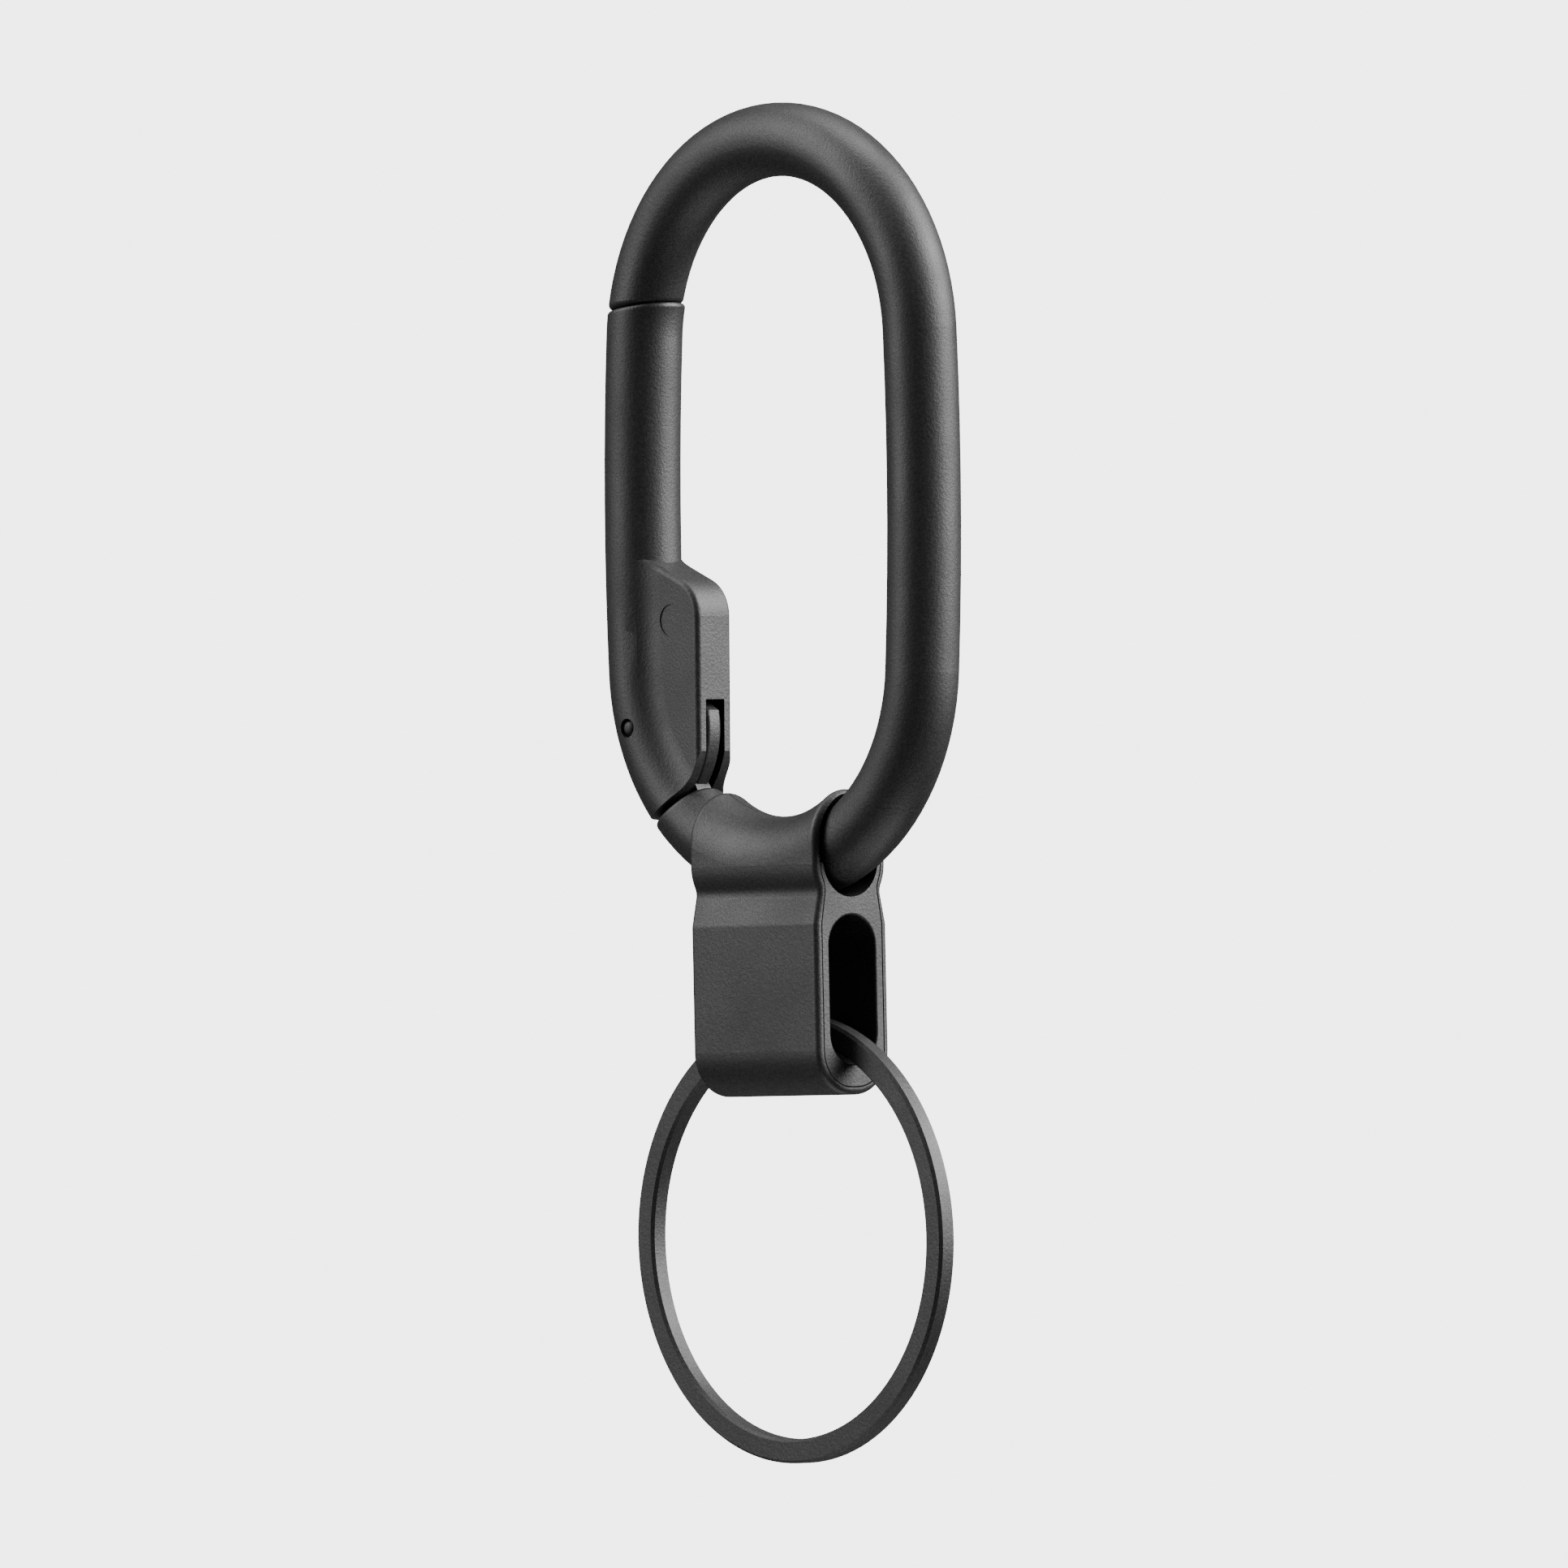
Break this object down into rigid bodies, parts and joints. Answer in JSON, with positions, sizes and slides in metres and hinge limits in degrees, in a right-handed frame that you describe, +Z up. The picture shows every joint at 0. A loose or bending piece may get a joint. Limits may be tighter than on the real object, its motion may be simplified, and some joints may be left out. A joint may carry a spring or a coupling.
{
  "type": "carabiner keyring",
  "caption": "Oval pocket carabiner with a sprung inward gate, a key saddle that slides on the loop, and a flat key ring.",
  "frame": {"origin": "inside of the loop's top, in the middle of its width and thickness, where the loop hangs", "axes": "+X across the loop away from the gate, +Y from the front face to the back, +Z up through the loop's top"},
  "size_m": [0.0332, 0.0066, 0.092],
  "materials": {
    "loop_body": "matte black coating",
    "gate": "matte black coating",
    "pivot_pin": "satin black steel",
    "spring_plunger": "turned steel",
    "gate_spring": "drawn wire",
    "saddle_shell": "matte black coating",
    "saddle_core": "matte black coating",
    "key_ring": "matte black coating"
  },
  "bodies": {
    "loop": {"loop_body": "loop_body", "pivot_pin": "pivot_pin"},
    "gate": {"gate": "gate", "gate_spring": "gate_spring"},
    "plunger": {"spring_plunger": "spring_plunger"},
    "saddle": {"saddle_shell": "saddle_shell", "saddle_core": "saddle_core"},
    "ring": {"key_ring": "key_ring"}
  },
  "joints": [
    {"name": "gate_hinge", "type": "hinge", "parent": "loop", "child": "gate", "pos_m": [-0.01294, 0, -0.03724], "axis": [0, 1, 0], "range_deg": [0, 25], "stiffness_Nm_per_rad": 0.08, "springref_deg": -22.92},
    {"name": "plunger_slide", "type": "slide", "parent": "gate", "child": "plunger", "axis": [0, 0, 1], "range_m": [0, 0.00158], "deforming": ["gate_spring"]},
    {"name": "saddle_slide", "type": "hinge", "parent": "loop", "child": "saddle", "pos_m": [0, 0, -0.03276], "axis": [0, -1, 0], "range_deg": [-4, 38]},
    {"name": "ring_swing", "type": "hinge", "parent": "saddle", "child": "ring", "pos_m": [0.00052, 0, -0.05982], "axis": [0.9998, 0, 0.0192], "range_deg": [-22, 22]}
  ],
  "couplings": [
    {"joint": "plunger_slide", "follows": "gate_hinge", "m_per_rad": 0.0036}
  ]
}
